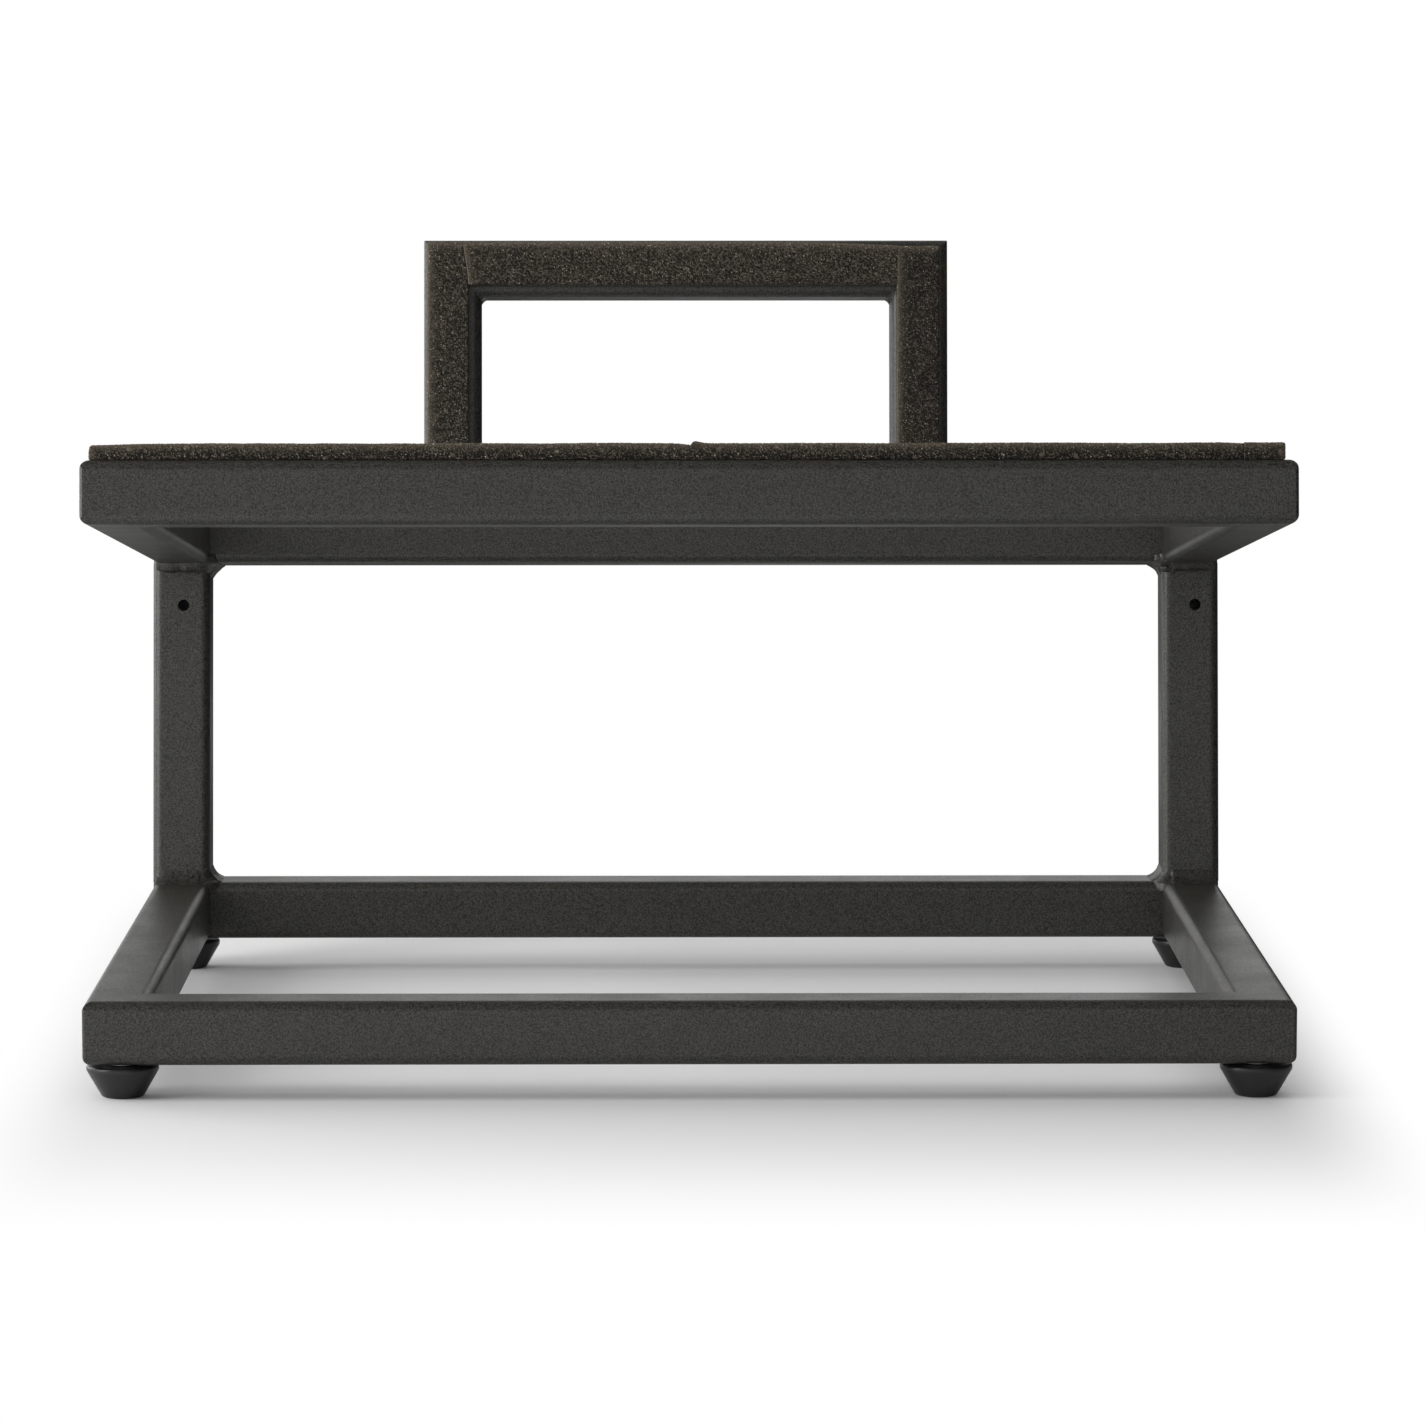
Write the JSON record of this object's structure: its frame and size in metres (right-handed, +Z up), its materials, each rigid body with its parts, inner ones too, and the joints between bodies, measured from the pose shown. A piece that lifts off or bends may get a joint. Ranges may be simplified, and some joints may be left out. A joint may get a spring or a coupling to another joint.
{
  "type": "speaker stand",
  "caption": "Low welded square-tube floor stand that tilts a loudspeaker back, with a foam-lined sloping shelf, a short backrest and screw-in levelling feet.",
  "frame": {"origin": "on the floor, under the middle of the outline box", "axes": "+X to the stand's right as seen from the front, +Y to the back, +Z up"},
  "size_m": [0.375, 0.3138, 0.2554],
  "materials": {
    "powder_coat": "fine-grain satin charcoal powder coat",
    "foam": "matte open-cell foam strip, cut edges",
    "foot_plastic": "satin black moulded plastic",
    "stud_steel": "zinc-plated thread",
    "rivet_nut_steel": "zinc-plated steel"
  },
  "bodies": {
    "frame": {"base_front_bar": "powder_coat", "base_right_bar": "powder_coat", "base_rear_bar": "powder_coat", "base_left_bar": "powder_coat", "shelf_front_bar": "powder_coat", "shelf_right_bar": "powder_coat", "shelf_rear_bar": "powder_coat", "shelf_left_bar": "powder_coat", "left_post": "powder_coat", "right_post": "powder_coat", "backrest_left_leg": "powder_coat", "backrest_right_leg": "powder_coat", "backrest_top_bar": "powder_coat", "post_foot_welds": "powder_coat", "post_head_welds": "powder_coat", "backrest_foot_welds": "powder_coat", "backrest_corner_welds": "powder_coat", "shelf_foam_front_left": "foam", "shelf_foam_front_right": "foam", "shelf_foam_left_side": "foam", "shelf_foam_right_side": "foam", "backrest_foam_left": "foam", "backrest_foam_right": "foam", "backrest_foam_top": "foam", "front_left_rivet_nut": "rivet_nut_steel", "front_right_rivet_nut": "rivet_nut_steel", "rear_left_rivet_nut": "rivet_nut_steel", "rear_right_rivet_nut": "rivet_nut_steel"},
    "front_left_stud": {"front_left_stud": "stud_steel"},
    "front_left_foot": {"front_left_foot": "foot_plastic"},
    "front_right_stud": {"front_right_stud": "stud_steel"},
    "front_right_foot": {"front_right_foot": "foot_plastic"},
    "rear_left_stud": {"rear_left_stud": "stud_steel"},
    "rear_left_foot": {"rear_left_foot": "foot_plastic"},
    "rear_right_stud": {"rear_right_stud": "stud_steel"},
    "rear_right_foot": {"rear_right_foot": "foot_plastic"}
  },
  "joints": [
    {"name": "front_left_foot_turn", "type": "hinge", "parent": "front_left_stud", "child": "front_left_foot", "pos_m": [-0.176, -0.1454, 0], "axis": [0, 0, -1], "range_deg": [0, 2160]},
    {"name": "front_left_foot_lift", "type": "slide", "parent": "frame", "child": "front_left_stud", "axis": [0, 0, -1], "range_m": [0, 0.006]},
    {"name": "front_right_foot_turn", "type": "hinge", "parent": "front_right_stud", "child": "front_right_foot", "pos_m": [0.176, -0.1454, 0], "axis": [0, 0, -1], "range_deg": [0, 2160]},
    {"name": "front_right_foot_lift", "type": "slide", "parent": "frame", "child": "front_right_stud", "axis": [0, 0, -1], "range_m": [0, 0.006]},
    {"name": "rear_left_foot_turn", "type": "hinge", "parent": "rear_left_stud", "child": "rear_left_foot", "pos_m": [-0.176, 0.1166, 0], "axis": [0, 0, -1], "range_deg": [0, 2160]},
    {"name": "rear_left_foot_lift", "type": "slide", "parent": "frame", "child": "rear_left_stud", "axis": [0, 0, -1], "range_m": [0, 0.006]},
    {"name": "rear_right_foot_turn", "type": "hinge", "parent": "rear_right_stud", "child": "rear_right_foot", "pos_m": [0.176, 0.1166, 0], "axis": [0, 0, -1], "range_deg": [0, 2160]},
    {"name": "rear_right_foot_lift", "type": "slide", "parent": "frame", "child": "rear_right_stud", "axis": [0, 0, -1], "range_m": [0, 0.006]}
  ],
  "couplings": [
    {"joint": "front_left_foot_lift", "follows": "front_left_foot_turn", "m_per_rad": 0.00015915},
    {"joint": "front_right_foot_lift", "follows": "front_right_foot_turn", "m_per_rad": 0.00015915},
    {"joint": "rear_left_foot_lift", "follows": "rear_left_foot_turn", "m_per_rad": 0.00015915},
    {"joint": "rear_right_foot_lift", "follows": "rear_right_foot_turn", "m_per_rad": 0.00015915}
  ]
}
